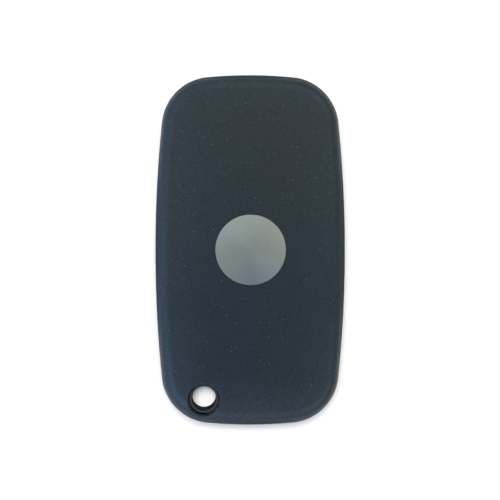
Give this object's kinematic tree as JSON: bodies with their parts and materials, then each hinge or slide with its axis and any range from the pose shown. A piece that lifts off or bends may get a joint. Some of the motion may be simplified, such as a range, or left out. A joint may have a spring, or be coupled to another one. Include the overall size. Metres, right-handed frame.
{
  "type": "flip key remote",
  "caption": "Pocket flip key remote: two-shell case with crowned plain back, key ring hole, folding steel blade on a sprung release button, and pushed function caps.",
  "frame": {"origin": "centre of the case's outline, on the flat front face that it lies on", "axes": "+Z out of the smooth rear face, +Y along the case towards the end where the blade comes out, +X across the case towards the folded blade"},
  "size_m": [0.0406, 0.075, 0.0153],
  "materials": {
    "case_plastic": "fine spark-eroded charcoal plastic",
    "inlay_metal": "plain satin",
    "head_nickel": "satin nickel plating on a die casting",
    "blade_steel": "milled",
    "spring_steel": "drawn wire",
    "release_chrome": "bright",
    "button_plastic": "soft-touch",
    "switch_plastic": "moulded",
    "plunger_plastic": "moulded",
    "board_laminate": "green solder mask",
    "chip_plastic": "moulded",
    "coil_ferrite": "enamelled copper winding",
    "capacitor_body": "ceramic",
    "cell_steel": "plain",
    "contact_nickel": "nickel plated"
  },
  "bodies": {
    "case": {"rear_cover": "case_plastic", "front_cover": "case_plastic", "rear_inlay": "inlay_metal", "circuit_board": "board_laminate", "controller_chip": "chip_plastic", "antenna_coil": "coil_ferrite", "crystal_can": "contact_nickel", "chip_capacitors": "capacitor_body", "transponder_chip": "chip_plastic", "coin_cell": "cell_steel", "battery_clip_positive": "contact_nickel", "battery_clip_negative": "contact_nickel", "lock_switch": "switch_plastic", "unlock_switch": "switch_plastic", "boot_switch": "switch_plastic", "flip_spring": "spring_steel"},
    "blade": {"blade_head": "head_nickel", "key_blade": "blade_steel", "blade_pin": "spring_steel"},
    "release": {"release_button": "release_chrome"},
    "lock": {"lock_button": "button_plastic", "lock_plunger": "plunger_plastic"},
    "unlock": {"unlock_button": "button_plastic", "unlock_plunger": "plunger_plastic"},
    "boot": {"boot_button": "button_plastic", "boot_plunger": "plunger_plastic"}
  },
  "joints": [
    {"name": "blade_swing", "type": "hinge", "parent": "case", "child": "blade", "pos_m": [0.00823, 0.02632, 0.0077], "axis": [0, 0, 1], "range_deg": [0, 180]},
    {"name": "release_press", "type": "slide", "parent": "blade", "child": "release", "axis": [0, 0, 1], "range_m": [0, 0.0018], "stiffness_N_per_m": 900, "springref_m": -0.003, "deforming": ["flip_spring"]},
    {"name": "lock_press", "type": "slide", "parent": "case", "child": "lock", "axis": [0, 0, 1], "range_m": [0, 0.0004], "stiffness_N_per_m": 3000, "springref_m": -0.0002},
    {"name": "unlock_press", "type": "slide", "parent": "case", "child": "unlock", "axis": [0, 0, 1], "range_m": [0, 0.0004], "stiffness_N_per_m": 3000, "springref_m": -0.0002},
    {"name": "boot_press", "type": "slide", "parent": "case", "child": "boot", "axis": [0, 0, 1], "range_m": [0, 0.0004], "stiffness_N_per_m": 3000, "springref_m": -0.0002}
  ]
}
